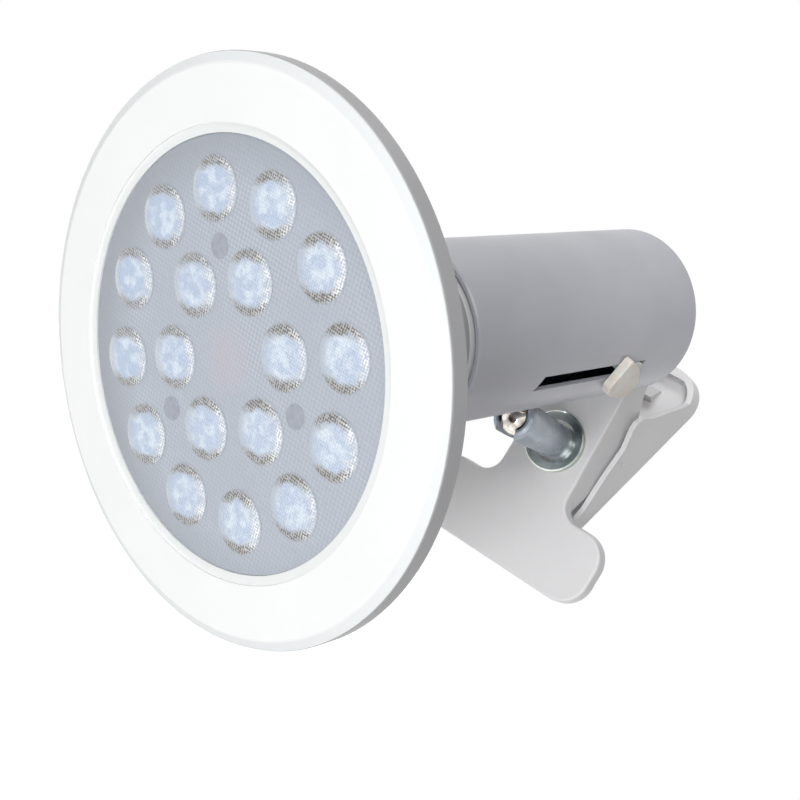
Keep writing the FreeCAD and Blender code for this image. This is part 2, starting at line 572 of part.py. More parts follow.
rounded(jaw_plate, d.jaw_fillet, lambda middle, along: abs(along.y) > 0.9
        and abs(middle.z - d.jaw_half_tall.value) < 0.1)
rounded(jaw_plate, d.stem_round, lambda middle, along: abs(along.y) > 0.9
        and middle.z > d.arm_top.value - 0.1)
rounded(jaw_plate, d.edge_round, lambda middle, along: middle.y < -d.jaw_thick.value / 2 + 0.1)
jaw_plate.Placement = Placement(Vector(0, (face + d.jaw_thick / 2).value, 0), Rotation())
front_solid = joined("front_solid", [stem_solid, jaw_plate])
pin_hole = d.pin_radius + d.fit
keep(cut("front_arm", front_solid, [
    front_hollow,
    rod("front_pin_hole", pin_hole, 40.0, -20.0, d.pivot_depth, d.pivot_height, ALONG_X),
    rod("front_screw_hole", d.screw_radius + 0.2, 20.0, 0, face - 5.0, d.washer_height, ALONG_Y)]),
    "front_arm")

# ---------------------------------------------------------------- rear arm
lean = math.tan(math.radians(d.rear_lean.value))
back_low = 10.3
back_low_height = 10.5


def back_line(height, inset=0.0):
    # the rear arm's back face leans away from the front arm as it rises
    return number(back_low - inset) + (number(height) - back_low_height) * lean


jaw_face = d.pad_gap + d.pad_thick
rear_outer = pushed("rear_outer", "YZ_Plane", [
    (jaw_face, -d.jaw_half_tall + 1.2), (jaw_face + d.rear_jaw_thick, -d.jaw_half_tall + 1.2),
    (jaw_face + d.rear_jaw_thick, 6.5), (back_low, back_low_height), (back_line(d.rear_top), d.rear_top),
    (back_line(d.rear_top) - 6.0, d.rear_top + 1.0), (37.2, 58.9), (24.8, 53.3), (14.8, 48.6),
    (8.0, 46.6), (5.6, 44.4), (5.3, 42.0), (7.6, 36.0), (5.6, 26.4), (4.6, 15.2), (jaw_face, 10.4)],
    d.rear_half * 2)
rear_inner_half = d.stem_half_low + d.slack - 0.1
back_inset = d.rear_back_thick / math.cos(math.radians(d.rear_lean.value))
rear_inner = pushed("rear_inner", "YZ_Plane", [
    (-20.0, 11.0), (back_line(11.0) - back_inset, 11.0),
    (back_line(d.rear_top - 2.0) - back_inset, d.rear_top - 2.0), (30.0, d.rear_top - 2.0), (-20.0, 60.0)],
    rear_inner_half * 2)


def planned(name, side, half, top, corner):
    # trim a side profile to a plan with a rounded top end
    plan = pushed(name + "_plan", "XZ_Plane", [
        (-half, -20.0), (half, -20.0), (half, top), (-half, top)], deep * 2)
    rounded(plan, corner, lambda middle, along: middle.z > top.value - 0.1 and abs(along.y) > 0.9)
    thing = doc.addObject("Part::Common", name)
    thing.Base = side
    thing.Tool = plan
    return thing


rear_rim = 2.0
rear_shell = planned("rear_shell", rear_outer, d.rear_half, d.rear_top + 0.9, d.rear_half - 1.2)
rear_room = planned("rear_room", rear_inner, rear_inner_half, d.rear_top + 0.9 - rear_rim,
                    rear_inner_half - 1.4)
rear_jaw = pushed("rear_jaw_plate", "XZ_Plane", [
    (-d.rear_jaw_half, -d.jaw_half_tall + 1.2), (d.rear_jaw_half, -d.jaw_half_tall + 1.2),
    (d.rear_jaw_half, d.jaw_half_tall - 1.4), (-d.rear_jaw_half, d.jaw_half_tall - 1.4)],
    d.rear_jaw_thick)
rounded(rear_jaw, d.rear_jaw_corner, lambda middle, along: abs(along.y) > 0.9)
rear_jaw.Placement = Placement(Vector(0, (jaw_face + d.rear_jaw_thick / 2).value, 0), Rotation())
rear_open = cut("rear_open", rear_shell, [rear_room])
spring_rib = pushed("spring_rib", "YZ_Plane", [
    (back_line(54.0) - back_inset - 3.4, 55.0), (back_line(53.5) - 1.0, 53.5),
    (back_line(58.5) - 1.0, 58.5), (back_line(58.5) - back_inset - 1.4, 58.5)], 3.4)
rear_solid = joined("rear_solid", [rear_open, rear_jaw, spring_rib])
hole_half = d.rear_half - d.pin_skin
keep(cut("rear_arm", rear_solid, [
    rod("rear_pin_hole", pin_hole, hole_half * 2, -hole_half, d.pivot_depth, d.pivot_height, ALONG_X),
    block("snap_slit", (1.2, 5.6, 0.7), (d.rear_half - 0.35, d.pivot_depth - 5.0, d.pivot_height - 2.0))]),
    "rear_arm")

# ---------------------------------------------------------------- jaw pads
def pad(node, half, half_tall, back, corner):
    plate = pushed(node + "_plate", "XZ_Plane", [
        (-half, -half_tall), (half, -half_tall), (half, half_tall), (-half, half_tall)], d.pad_thick)
    rounded(plate, corner, lambda middle, along: abs(along.y) > 0.9)
    ribs = [block("%s_groove_%d" % (node, i), (half * 2 + 2.0, 0.6, 0.9),
                  (-half - 1.0, (back - 0.6) if back.value == 0 else back,
                   half_tall * (i - 2.5) / 3.2 - 0.45)) for i in range(6)]
    middle = back - d.pad_thick / 2 if back.value == 0 else back + d.pad_thick / 2
    plate.Placement = Placement(Vector(0, middle.value, 0), Rotation())
    return keep(cut(node, plate, ribs), node)


pad("front_jaw_pad", d.jaw_half - d.pad_inset, d.jaw_half_tall - d.pad_inset, number(0),
    d.jaw_corner - d.pad_inset)
pad("rear_jaw_pad", d.rear_jaw_half - d.pad_inset, d.jaw_half_tall - d.pad_inset - 1.4, d.pad_gap,
    d.rear_jaw_corner - d.pad_inset)

# ---------------------------------------------------------------- pivot pin and torsion spring
pin_half = hole_half - 0.2
pin_point = 0.6
keep(joined("pivot_pin", [
    rod("pin_shank", d.pin_radius, (pin_half - pin_point) * 2, pin_point - pin_half, d.pivot_depth,
        d.pivot_height, ALONG_X),
    taper("pin_end_left", d.pin_radius - pin_point, d.pin_radius, pin_point, -pin_half, d.pivot_depth,
          d.pivot_height, ALONG_X),
    taper("pin_end_right", d.pin_radius, d.pin_radius - pin_point, pin_point, pin_half - pin_point,
          d.pivot_depth, d.pivot_height, ALONG_X)]), "pivot_pin")


def tangent_leg(target, radius, side):
    # where a straight leg to the target leaves the coil, as an angle and a length
    reach = math.hypot(*target)
    turn = math.atan2(target[1], target[0]) + side * math.acos(radius / reach)
    return turn, math.sqrt(reach ** 2 - radius ** 2)


def torsion_spring():
    # a close coil on the pin with one leg against the inside of each arm, in a frame whose
    # X is up, Y is back and Z is along the pin
    wire = d.wire_radius.value
    coil = d.coil_radius.value
    front_spot = (d.leg_height.value, (inner_face + d.wire_radius - d.pivot_depth).value + 0.1)
    rear_rise = d.leg_height.value * 0.75
    rear_face = back_line(d.pivot_height.value + rear_rise) - back_inset
    rear_spot = (rear_rise, (rear_face - d.pivot_depth).value - wire * 1.4)
    start, front_leg = tangent_leg(front_spot, coil, 1)
    end, rear_leg = tangent_leg(rear_spot, coil, -1)
    turns = d.coil_turns.value + ((end - start) / (2 * math.pi)) % 1
    height = d.coil_pitch.value * turns
    helix = Part.Wire(Part.makeHelix(d.coil_pitch.value, height, coil))
    ring = Part.Wire(Part.makeCircle(wire, Vector(coil, 0, 0), Vector(0, 1, 0)))
    solid = helix.makePipeShell([ring], True, True)
    solid.rotate(Vector(), Vector(0, 0, 1), math.degrees(start))
    pieces = [solid]
    for turn, length, level, way in ((start, front_leg, 0, -1), (end, rear_leg, height, 1)):
        spot = Vector(coil * math.cos(turn), coil * math.sin(turn), level)
        along = Vector(-math.sin(turn) * way, math.cos(turn) * way, 0)
        pieces.append(Part.makeCylinder(wire, length, spot, along))
    return Part.makeCompound(pieces), height


spring_solid, coil_height = torsion_spring()
spring = doc.addObject("Part::Feature", "torsion_spring")
spring.Shape = spring_solid
keep(spring, "torsion_spring", Placement(
    Vector(coil_height / 2, d.pivot_depth.value, d.pivot_height.value),
    Rotation(Vector(0, 0, 1), Vector(0, 1, 0), Vector(-1, 0, 0), "ZXY")))

# ---------------------------------------------------------------- check and write
doc.recompute()
for thing in doc.Objects:
    if "Invalid" in thing.State or "Error" in thing.State:
        raise RuntimeError("%s did not build: %s" % (thing.Name, thing.State))
for node, thing in nodes.items():
    shape = thing.Shape
    if shape.isNull() or not shape.isValid() or not shape.Solids:
        raise RuntimeError("%s has no valid solid" % node)
    shape.exportStep("parts/%s.step" % node)
    box = shape.BoundBox
    print("%-20s %d solid(s) %9.1f mm3  x %.1f..%.1f y %.1f..%.1f z %.1f..%.1f" % (
        node, len(shape.Solids), shape.Volume, box.XMin, box.XMax, box.YMin, box.YMax, box.ZMin, box.ZMax))
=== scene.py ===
import json
import math

import bpy
from mathutils import Matrix, Vector


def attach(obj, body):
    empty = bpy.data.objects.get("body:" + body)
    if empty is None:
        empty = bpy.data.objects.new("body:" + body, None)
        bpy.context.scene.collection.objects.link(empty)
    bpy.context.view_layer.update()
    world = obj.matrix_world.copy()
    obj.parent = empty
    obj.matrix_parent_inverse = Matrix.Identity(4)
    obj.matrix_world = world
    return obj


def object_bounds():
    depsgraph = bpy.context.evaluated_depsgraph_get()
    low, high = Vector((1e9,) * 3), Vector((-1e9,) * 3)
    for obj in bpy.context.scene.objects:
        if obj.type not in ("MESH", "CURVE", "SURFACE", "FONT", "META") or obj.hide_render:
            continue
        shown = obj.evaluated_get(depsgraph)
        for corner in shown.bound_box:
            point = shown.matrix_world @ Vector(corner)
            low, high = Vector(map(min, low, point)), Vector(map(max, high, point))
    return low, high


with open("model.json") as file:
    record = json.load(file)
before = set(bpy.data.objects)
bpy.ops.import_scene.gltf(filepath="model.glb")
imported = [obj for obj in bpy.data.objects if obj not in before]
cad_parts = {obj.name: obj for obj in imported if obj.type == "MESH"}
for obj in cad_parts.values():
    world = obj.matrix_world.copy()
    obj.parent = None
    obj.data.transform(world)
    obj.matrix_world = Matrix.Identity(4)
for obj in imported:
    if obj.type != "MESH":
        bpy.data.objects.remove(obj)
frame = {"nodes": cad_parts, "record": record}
cadLow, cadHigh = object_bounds()
nodes = frame["nodes"]
joints = {j["name"]: j for j in frame["record"]["behaviour"]["joints"]}
print("frame loaded:", len(nodes), "nodes")

# where the lamp points and where the joint is, from the record's joints
ballCentre = Vector(joints["head_tilt"]["pos_m"])
lensWay = Vector(joints["bulb_turn"]["axis"]).normalized()
studWay = Vector(joints["head_swing"]["axis"]).normalized()
acrossWay = studWay.cross(lensWay).normalized()
faceCentre = Vector(joints["bulb_turn"]["pos_m"])
headPlace = Matrix((acrossWay, studWay, lensWay)).transposed().to_4x4()
headPlace.translation = faceCentre


# ---- finishes
def startFinish(name):
    material = bpy.data.materials.new(name)
    material.use_nodes = True
    tree = material.node_tree
    shader = tree.nodes["Principled BSDF"]
    return material, tree, shader


def node(tree, kind, **values):
    made = tree.nodes.new(kind)
    for key, value in values.items():
        if hasattr(made, key):
            setattr(made, key, value)
        else:
            made.inputs[key.replace("_", " ")].default_value = value
    return made


def join(tree, start, end):
    tree.links.new(start, end)


def calc(tree, way, first, second=None):
    # one step of arithmetic on sockets or numbers
    step = node(tree, "ShaderNodeMath", operation=way)
    for slot, value in zip(step.inputs, (first, second)):
        if value is None:
            continue
        if isinstance(value, (int, float)):
            slot.default_value = value
        else:
            join(tree, value, slot)
    return step.outputs[0]


def blendColours(tree, amount, first, second):
    mixer = node(tree, "ShaderNodeMix", data_type="RGBA")
    for slot, value in ((mixer.inputs[0], amount), (mixer.inputs[6], first), (mixer.inputs[7], second)):
        if isinstance(value, (int, float)):
            slot.default_value = value
        elif isinstance(value, (tuple, list)):
            slot.default_value = (*value, 1)
        else:
            join(tree, value, slot)
    return mixer.outputs[2]


def surfacePlace(tree):
    return tree.nodes.new("ShaderNodeTexCoord").outputs["Object"]


def grainOf(tree, place, scale, detail=3.0):
    grain = node(tree, "ShaderNodeTexNoise", Scale=scale, Detail=detail)
    join(tree, place, grain.inputs["Vector"])
    return grain.outputs["Fac"]


def stretch(tree, value, low, high, newLow, newHigh):
    remap = node(tree, "ShaderNodeMapRange")
    for slot, number in zip(remap.inputs[1:5], (low, high, newLow, newHigh)):
        slot.default_value = number
    join(tree, value, remap.inputs[0])
    return remap.outputs[0]


def addBump(tree, shader, height, strength, depth):
    bump = node(tree, "ShaderNodeBump", Strength=strength, Distance=depth)
    join(tree, height, bump.inputs["Height"])
    join(tree, bump.outputs["Normal"], shader.inputs["Normal"])


def coat(name, look):
    # a plain finish: two close tones in soft clouds, a fine grain, and gloss that varies a little
    material, tree, shader = startFinish(name)
    place = surfacePlace(tree)
    cloud = grainOf(tree, place, look.get("cloudScale", 60), 4)
    tone = stretch(tree, cloud, 0.35, 0.65, 0, 1)
    join(tree, blendColours(tree, tone, look["light"], look["dark"]), shader.inputs["Base Color"])
    fine = grainOf(tree, place, look.get("grainScale", 2600), 2)
    gloss = look["gloss"]
    join(tree, stretch(tree, cloud, 0.3, 0.7, gloss[0], gloss[1]), shader.inputs["Roughness"])
    shader.inputs["Metallic"].default_value = look.get("metal", 0.0)
    shader.inputs["Specular IOR Level"].default_value = look.get("shine", 0.5)
    if "soft" in look:
        shader.inputs["Subsurface Weight"].default_value = look["soft"]
        shader.inputs["Subsurface Scale"].default_value = look.get("softDepth", 0.002)
    addBump(tree, shader, fine, look.get("grain", 0.15), look.get("grainDepth", 0.0001))
    return material


finishes = {
    "neckWhite": {"light": (0.82, 0.82, 0.82), "dark": (0.76, 0.77, 0.77), "gloss": (0.3, 0.4),
                  "cloudScale": 25, "grain": 0.06},
    "sinkGrey": {"light": (0.36, 0.36, 0.38), "dark": (0.32, 0.32, 0.34), "gloss": (0.4, 0.5), "grain": 0.3},
    "boardWhite": {"light": (0.75, 0.78, 0.8), "dark": (0.68, 0.72, 0.74), "gloss": (0.3, 0.45)},
    "chipYellow": {"light": (0.85, 0.68, 0.16), "dark": (0.8, 0.58, 0.1), "gloss": (0.25, 0.4)},
    "boardGreen": {"light": (0.06, 0.25, 0.1), "dark": (0.03, 0.17, 0.07), "gloss": (0.25, 0.4)},
    "sleeveBlack": {"light": (0.02, 0.022, 0.03), "dark": (0.012, 0.013, 0.018), "gloss": (0.25, 0.4)},
    "nickelShell": {"light": (0.72, 0.70, 0.66), "dark": (0.6, 0.58, 0.53), "gloss": (0.18, 0.34), "metal": 1.0},
    "glassBlack": {"light": (0.012, 0.012, 0.018), "dark": (0.02, 0.018, 0.02), "gloss": (0.08, 0.2)},
    "tubeSatin": {"light": (0.52, 0.525, 0.575), "dark": (0.47, 0.475, 0.52), "gloss": (0.26, 0.38),
                  "cloudScale": 30, "grain": 0.08},
    "capSatin": {"light": (0.52, 0.525, 0.575), "dark": (0.47, 0.475, 0.52), "gloss": (0.32, 0.45), "grain": 0.1},
    "glandPlastic": {"light": (0.6, 0.6, 0.6), "dark": (0.54, 0.54, 0.55), "gloss": (0.4, 0.55), "grain": 0.25},
    "holderBlack": {"light": (0.014, 0.026, 0.045), "dark": (0.008, 0.012, 0.02), "gloss": (0.15, 0.35)},
    "brassMetal": {"light": (0.75, 0.56, 0.26), "dark": (0.6, 0.43, 0.2), "gloss": (0.2, 0.4), "metal": 1.0},
    "zincSteel": {"light": (0.58, 0.59, 0.6), "dark": (0.45, 0.46, 0.47), "gloss": (0.22, 0.42), "metal": 1.0,
                  "cloudScale": 220},
    # chrome; the dark tone in its clouds is painted reflection
    "chromeBright": {"light": (0.80, 0.77, 0.72), "dark": (0.16, 0.12, 0.10), "gloss": (0.05, 0.12), "metal": 1.0,
                     "grain": 0.02, "cloudScale": 330},
    # chrome washer; the dark green-grey tone in its clouds is painted reflection
    "washerChrome": {"light": (0.72, 0.73, 0.68), "dark": (0.26, 0.30, 0.28), "gloss": (0.1, 0.2), "metal": 1.0,
                     "grain": 0.03, "cloudScale": 95},
    "cupSatin": {"light": (0.45, 0.50, 0.56), "dark": (0.39, 0.44, 0.50), "gloss": (0.24, 0.34), "metal": 0.3,
                 "grain": 0.05, "cloudScale": 140},
    "seatPlastic": {"light": (0.5, 0.5, 0.48), "dark": (0.42, 0.42, 0.4), "gloss": (0.4, 0.55)},
    "clipWhite": {"light": (0.80, 0.795, 0.80), "dark": (0.76, 0.755, 0.765), "gloss": (0.28, 0.4),
                  "cloudScale": 35, "grain": 0.08, "soft": 0.08},
    "padGrey": {"light": (0.42, 0.42, 0.42), "dark": (0.35, 0.35, 0.36), "gloss": (0.55, 0.7), "grain": 0.4},
    # steel band; its bright teal and near-black clouds are painted glints
    "bandSteel": {"light": (0.70, 0.78, 0.80), "dark": (0.05, 0.09, 0.11), "gloss": (0.08, 0.25), "metal": 1.0,
                  "cloudScale": 420},
    "springWire": {"light": (0.45, 0.45, 0.46), "dark": (0.3, 0.3, 0.32), "gloss": (0.2, 0.35), "metal": 1.0},
}
made = {name: coat(name, look) for name, look in finishes.items()}
print("plain finishes made:", len(made))

# step, chamfer and side are painted shade on the white rim
rimLook = {"face": (0.97, 0.98, 0.975), "faceDark": (0.95, 0.965, 0.96), "step": (0.85, 0.875, 0.87),
           "chamferShade": (0.84, 0.86, 0.87), "side": (0.37, 0.37, 0.38), "stepRadius": 0.0466,
           "chamferRadius": 0.0578, "sideDepth": -0.0013}


def headPattern(tree):
    # the place on the lamp's face in the head's own directions: across, up and out of the lens
    place = surfacePlace(tree)
    centred = node(tree, "ShaderNodeVectorMath", operation="SUBTRACT")
    join(tree, place, centred.inputs[0])
    centred.inputs[1].default_value = faceCentre
    parts = []
    for way in (acrossWay, studWay, lensWay):
        dot = node(tree, "ShaderNodeVectorMath", operation="DOT_PRODUCT")
        join(tree, centred.outputs[0], dot.inputs[0])
        dot.inputs[1].default_value = way
        parts.append(dot.outputs["Value"])
    return parts


def reachOf(tree, x, y):
    return calc(tree, "SQRT", calc(tree, "ADD", calc(tree, "MULTIPLY", x, x), calc(tree, "MULTIPLY", y, y)))


def makeRim():
    # white enamel on the front; the darker step round the lens, the greyer chamfer and the grey edge behind the
    # face are painted shade
    material, tree, shader = startFinish("rimWhite")
    u, v, w = headPattern(tree)
    reach = reachOf(tree, u, v)
    cloud = grainOf(tree, surfacePlace(tree), 30, 4)
    face = blendColours(tree, stretch(tree, cloud, 0.35, 0.65, 0, 1), rimLook["face"], rimLook["faceDark"])
    # painted shade: the step round the lens is darker, as if shaded in its recess
    radius = rimLook["stepRadius"]
    stepShaded = blendColours(tree, stretch(tree, reach, radius - 0.0002, radius, 1, 0), face, rimLook["step"])
    # painted shade: the chamfer is greyer than the face
    radius = rimLook["chamferRadius"]
    chamferShaded = blendColours(tree, stretch(tree, reach, radius, radius + 0.0006, 0, 1), stepShaded, rimLook["chamferShade"])
    # painted shade: the side of the rim behind the face is painted grey
    depth = rimLook["sideDepth"]
    sideShaded = blendColours(tree, stretch(tree, w, depth, depth + 0.0003, 1, 0), chamferShaded, rimLook["side"])
    join(tree, sideShaded, shader.inputs["Base Color"])
    join(tree, stretch(tree, cloud, 0.3, 0.7, 0.3, 0.42), shader.inputs["Roughness"])
    addBump(tree, shader, grainOf(tree, surfacePlace(tree), 2200, 2), 0.06, 0.0001)
    return material


made["rimWhite"] = makeRim()

# rim is a painted shade colour for the edge of the lens
sheetLook = {"base": (0.525, 0.575, 0.64), "valley": (0.415, 0.455, 0.525), "rimShade": (0.35, 0.375, 0.42),
             "pitch": 0.00098, "finePitch": 0.00062, "lensRadius": 0.0446, "blush": (0.56, 0.50, 0.56), "haze": (0.455, 0.49, 0.56)}


def prismHeight(tree, u, v, pitch):
    # a diamond grid of small prisms: two crossed waves
    turn = 2 * math.pi / pitch
    first = calc(tree, "SINE", calc(tree, "MULTIPLY", u, turn))
    second = calc(tree, "SINE", calc(tree, "MULTIPLY", v, turn))
    return calc(tree, "MULTIPLY", calc(tree, "ADD", first, second), 0.5)


def sheetColour(tree, u, v, prism):
    # bluish translucent plastic with painted shade near its rim, darker to one side, and a faint warm middle
    reach = reachOf(tree, u, v)
    tone = stretch(tree, prism, -0.7, 0.7, 0, 1)
    grid = blendColours(tree, tone, sheetLook["valley"], sheetLook["base"])
    cloud = stretch(tree, grainOf(tree, surfacePlace(tree), 38, 3), 0.36, 0.62, 0, 0.6)
    clouded = blendColours(tree, cloud, grid, sheetLook["haze"])
    # painted shade: darker near the rim and more on one side, standing in for the shadow of the recessed wall
    lean = calc(tree, "SUBTRACT", reach, calc(tree, "MULTIPLY", u, 0.16))
    rimShadeAmount = stretch(tree, lean, sheetLook["lensRadius"] * 0.8, sheetLook["lensRadius"] * 1.08, 0, 0.9)
    rimShaded = blendColours(tree, rimShadeAmount, clouded, sheetLook["rimShade"])
    middle = stretch(tree, reach, 0.002, 0.0085, 0.5, 0)
    return blendColours(tree, middle, rimShaded, sheetLook["blush"])


def makeSheet():
    material, tree, shader = startFinish("prismSheet")
    u, v, w = headPattern(tree)
    prism = prismHeight(tree, u, v, sheetLook["pitch"])
    join(tree, sheetColour(tree, u, v, prism), shader.inputs["Base Color"])
    shader.inputs["Roughness"].default_value = 0.32
    addBump(tree, shader, prism, 0.35, 0.0001)
    return material


made["prismSheet"] = makeSheet()

beadLook = {"radius": 0.0069, "outerRing": 0.0338, "innerRing": 0.0171, "outerTurn": 116.7, "innerTurn": 86.7,
            "postRing": 0.0224, "postTurn": 116.0, "postRadius": 0.0026, "depth": 0.00093, "lean": 0.37,
            "core": (0.47, 0.58, 0.77), "glow": (0.72, 0.82, 0.95), "dots": (0.15, 0.135, 0.12),
            "between": (0.46, 0.46, 0.46), "haze": (0.50, 0.55, 0.63), "paintedSpark": (0.97, 0.98, 0.98)}


def makeBead():
    # what the sheet shows of each optic: a pale blue glow between two dotted dark arcs, with painted glints and
    # painted highlights in white
    material, tree, shader = startFinish("beadImage")
    u, v, w = headPattern(tree)
    prism = prismHeight(tree, u, v, sheetLook["pitch"])
    sheet = sheetColour(tree, u, v, prism)
    spread = node(tree, "ShaderNodeUVMap", uv_map="beadMap")
    split = tree.nodes.new("ShaderNodeSeparateXYZ")
    join(tree, spread.outputs[0], split.inputs[0])
    mapX = calc(tree, "SUBTRACT", calc(tree, "MULTIPLY", split.outputs[0], 2.0), 1.0)
    mapY = calc(tree, "SUBTRACT", calc(tree, "MULTIPLY", split.outputs[1], 2.0), 1.0)
    lean = beadLook["lean"]
    upright = math.sqrt(1 - lean * lean)
    x = calc(tree, "ADD", calc(tree, "MULTIPLY", mapX, upright), calc(tree, "MULTIPLY", mapY, lean))
    y = calc(tree, "SUBTRACT", calc(tree, "MULTIPLY", mapY, upright), calc(tree, "MULTIPLY", mapX, lean))
    reach = reachOf(tree, x, y)
    patch = grainOf(tree, surfacePlace(tree), 380, 3)
    ragged = calc(tree, "ADD", reach, calc(tree, "MULTIPLY", calc(tree, "SUBTRACT", patch, 0.5), 0.45))
    rough = stretch(tree, u, -0.034, 0.02, 0.35, 1.0)  # the optics on one side show more of the prisms; this also sets where the painted glints and the painted crescent fall
    finePrism = prismHeight(tree, u, v, sheetLook["finePitch"])
    grit = calc(tree, "MULTIPLY", calc(tree, "SUBTRACT", grainOf(tree, surfacePlace(tree), 1900, 1), 0.5), 4.0)
    facet = stretch(tree, calc(tree, "ADD", finePrism, grit), -0.35, 0.35, 0, 1)
    inside = blendColours(tree, stretch(tree, patch, 0.44, 0.6, 0, 1), beadLook["core"], beadLook["glow"])
    shaded = blendColours(tree, calc(tree, "MULTIPLY", calc(tree, "SUBTRACT", 1.0, facet), 0.28), inside,
                          beadLook["haze"])
    # painted glints: white sparkle on the prisms, stronger on one side of the lamp
    paintedGlintAmount = calc(tree, "MULTIPLY", calc(tree, "MULTIPLY", facet, rough), 0.3)
    paintedGlints = blendColours(tree, paintedGlintAmount, shaded, beadLook["paintedSpark"])
    hazy = blendColours(tree, stretch(tree, ragged, 0.55, 0.85, 0, 0.85), paintedGlints, beadLook["haze"])
    away = calc(tree, "ADD", calc(tree, "ABSOLUTE", y), calc(tree, "MULTIPLY", patch, 0.3))
    arc = calc(tree, "MULTIPLY", stretch(tree, away, 0.62, 0.86, 0, 1), stretch(tree, ragged, 0.6, 0.74, 0, 1))
    dotted = blendColours(tree, facet, beadLook["dots"], beadLook["between"])
    arcTone = calc(tree, "MULTIPLY", arc, calc(tree, "ADD", calc(tree, "MULTIPLY", rough, 0.35), 0.6))
    arched = blendColours(tree, arcTone, hazy, dotted)
    # painted highlight: a white dotted arc on one side of each optic
    side = calc(tree, "MULTIPLY", stretch(tree, x, 0.15, 0.7, 0, 1), stretch(tree, ragged, 0.6, 0.85, 0, 1))
    paintedSpark = calc(tree, "MULTIPLY", calc(tree, "MULTIPLY", side, facet), stretch(tree, patch, 0.4, 0.6, 0.45, 1))
    highlighted = blendColours(tree, paintedSpark, arched, beadLook["paintedSpark"])
    # painted highlight: a white crescent on the far side of the optics, fading out on one side of the lamp
    farCrescent = calc(tree, "MULTIPLY", stretch(tree, x, -0.45, -0.85, 0, 0.5), stretch(tree, ragged, 0.7, 0.9, 0, 1))
    smooth = calc(tree, "MULTIPLY", farCrescent, calc(tree, "SUBTRACT", 1.0, rough))
    crescentHighlighted = blendColours(tree, smooth, highlighted, beadLook["paintedSpark"])
    ends = stretch(tree, reach, 0.92, 1.0, 0, 1)
    join(tree, blendColours(tree, ends, crescentHighlighted, sheet), shader.inputs["Base Color"])
    shader.inputs["Roughness"].default_value = 0.26
    addBump(tree, shader, prism, 0.4, 0.0001)
    return material


made["beadImage"] = makeBead()
made["postImage"] = coat("postImage", {"light": (0.33, 0.35, 0.40), "dark": (0.40, 0.43, 0.50),
                                       "gloss": (0.3, 0.4), "cloudScale": 700})

tabLook = {"light": (0.84, 0.81, 0.77), "dark": (0.76, 0.68, 0.61), "gloss": (0.38, 0.5), "cloudScale": 160,
           "grain": 0.12, "soft": 0.35, "softDepth": 0.003}
made["tabCream"] = coat("tabCream", tabLook)
print("lens and tab finishes made")

wears = {
    "rimWhite": ["bezel_ring"], "neckWhite": ["neck_housing"], "sinkGrey": ["heat_sink_cone"],
    "prismSheet": ["diffuser_lens"],
    "boardWhite": ["led_board", "optic_carrier", "led_optics"], "chipYellow": ["led_chips"],
    "boardGreen": ["driver_board"], "sleeveBlack": ["driver_capacitor", "driver_transformer"],
    "nickelShell": ["screw_cap", "centre_contact"], "glassBlack": ["cap_insulator"],
    "tubeSatin": ["shade_tube"], "capSatin": ["rear_cap"], "glandPlastic": ["cord_gland", "gland_nut"],
    "holderBlack": ["lampholder_body"], "brassMetal": ["holder_shell", "holder_contact", "terminal_screws"],
    "zincSteel": ["holder_bracket", "bracket_screws", "board_screws", "stud_nut", "cup_screw", "lock_washer",
                  "pivot_pin"],
    "chromeBright": ["ball_stud", "stud_collar"], "washerChrome": ["base_washer"], "cupSatin": ["swivel_cup"],
    "seatPlastic": ["friction_seat"], "clipWhite": ["front_arm", "rear_arm"],
    "padGrey": ["front_jaw_pad", "rear_jaw_pad"], "springWire": ["torsion_spring"],
    "tabCream": ["holder_slide_tab"],
}
for finish, owners in wears.items():
    for owner in owners:
        slots = nodes[owner].data.materials
        slots.clear()
        slots.append(made[finish])
print("nodes dressed:", sum(len(owners) for owners in wears.values()), "of", len(nodes))


# ---- new pieces
def clearPick():
    bpy.ops.object.select_all(action="DESELECT")


def take(piece):
    clearPick()
    piece.select_set(True)
    bpy.context.view_layer.objects.active = piece


def pickFaces(piece, wanted):
    # in edit mode, pick the faces the test wants
    bpy.ops.mesh.select_all(action="DESELECT")
    bpy.ops.object.mode_set(mode="OBJECT")
    for face in piece.data.polygons:
        face.select = wanted(face)
    bpy.ops.object.mode_set(mode="EDIT")


def setDown(piece, place):
    # put a piece made at the origin in its place, with the place in its mesh
    take(piece)
    piece.matrix_world = place
    bpy.ops.object.transform_apply(location=True, rotation=True, scale=True)


def domeBead(name, radius, rise, steps):
    # a round flat bead raised in rings, with its own flat map
    clearPick()
    bpy.ops.mesh.primitive_circle_add(vertices=40, radius=radius, fill_type="NGON", location=(0, 0, 0))
    bead = bpy.context.object
    bead.name = name
    bpy.context.tool_settings.mesh_select_mode = (False, False, True)
    bpy.ops.object.mode_set(mode="EDIT")
    for part in range(steps):
        outer = 1 - part / steps
        inner = 1 - (part + 1) / steps
        lift = rise * (math.sqrt(1 - inner ** 2) - math.sqrt(1 - outer ** 2)) if part < steps - 1 else 0
        pickFaces(bead, lambda face: len(face.vertices) > 4)
        bpy.ops.mesh.inset(thickness=radius / steps * 0.96, depth=0)
        bpy.ops.transform.translate(value=(0, 0, lift))
    bpy.ops.object.mode_set(mode="OBJECT")
    bpy.ops.object.shade_smooth()
    chart = bead.data.uv_layers.new(name="beadMap")
    for loop in bead.data.loops:
        spot = bead.data.vertices[loop.vertex_index].co
        chart.data[loop.index].uv = (spot.x / radius / 2 + 0.5, spot.y / radius / 2 + 0.5)
    return bead


